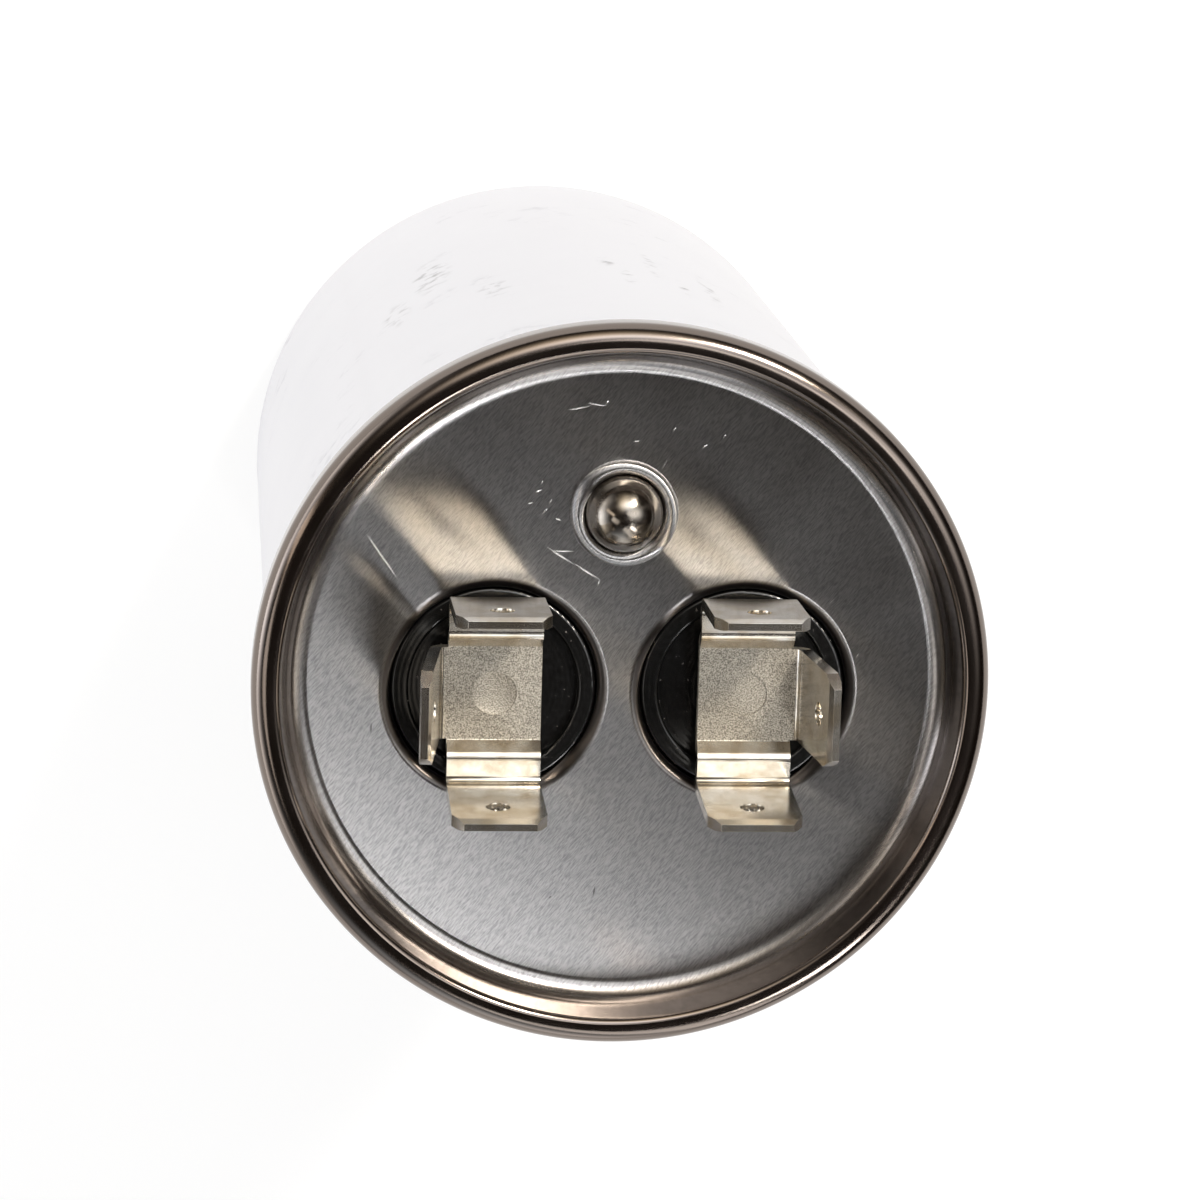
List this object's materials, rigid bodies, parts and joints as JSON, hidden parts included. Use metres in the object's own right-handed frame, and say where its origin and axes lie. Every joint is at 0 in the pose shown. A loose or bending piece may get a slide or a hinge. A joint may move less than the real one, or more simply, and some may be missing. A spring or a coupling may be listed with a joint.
{
  "type": "motor run capacitor",
  "caption": "Round drawn can with a seamed recessed cover, upright push-on blade terminals in black insulators and a ball-plugged filling hole.",
  "frame": {"origin": "centre of the can's base, on the surface that it stands on", "axes": "+Z along the can's axis towards the terminals, +X from the left terminal to the right one, +Y from the terminals towards the ball plug"},
  "size_m": [0.0498, 0.0498, 0.0886],
  "materials": {
    "can_aluminium": "drawn and washed, bare, with faint handling scuffs",
    "cover_tinplate": "tinned steel sheet with a diagonal brushed grain",
    "ball_steel": "hardened ball, polished, lightly scuffed",
    "terminal_tin": "tin-plated brass strip, stamped and folded",
    "stud_steel": "nickel-plated steel",
    "bushing_black": "moulded black thermoset, glossy",
    "gasket_rubber": "moulded rubber",
    "washer_board": "punched laminate",
    "lead_copper": "tinned copper strip",
    "solder": "soft solder",
    "seam_compound": "cured sealing compound",
    "film": "wound metallised polypropylene film",
    "plastic_white": "moulded polypropylene",
    "wrap_film": "wrapped insulating film",
    "spray_zinc": "arc-sprayed zinc, matte and grainy",
    "barrier_board": "moulded phenolic"
  },
  "bodies": {
    "root": {"can": "can_aluminium", "cover": "cover_tinplate", "seam_compound": "seam_compound", "fill_ball": "ball_steel", "left_terminal": "terminal_tin", "right_terminal": "terminal_tin", "left_stud": "stud_steel", "right_stud": "stud_steel", "left_bushing": "bushing_black", "right_bushing": "bushing_black", "left_gasket": "gasket_rubber", "right_gasket": "gasket_rubber", "left_inner_washer": "washer_board", "right_inner_washer": "washer_board", "upper_lead": "lead_copper", "lower_lead": "lead_copper", "upper_solder": "solder", "lower_solder": "solder", "barrier_disc": "barrier_board", "winding": "film", "winding_core": "plastic_white", "winding_wrap": "wrap_film", "top_end_spray": "spray_zinc", "bottom_end_spray": "spray_zinc", "insulating_cup": "plastic_white"}
  },
  "joints": []
}
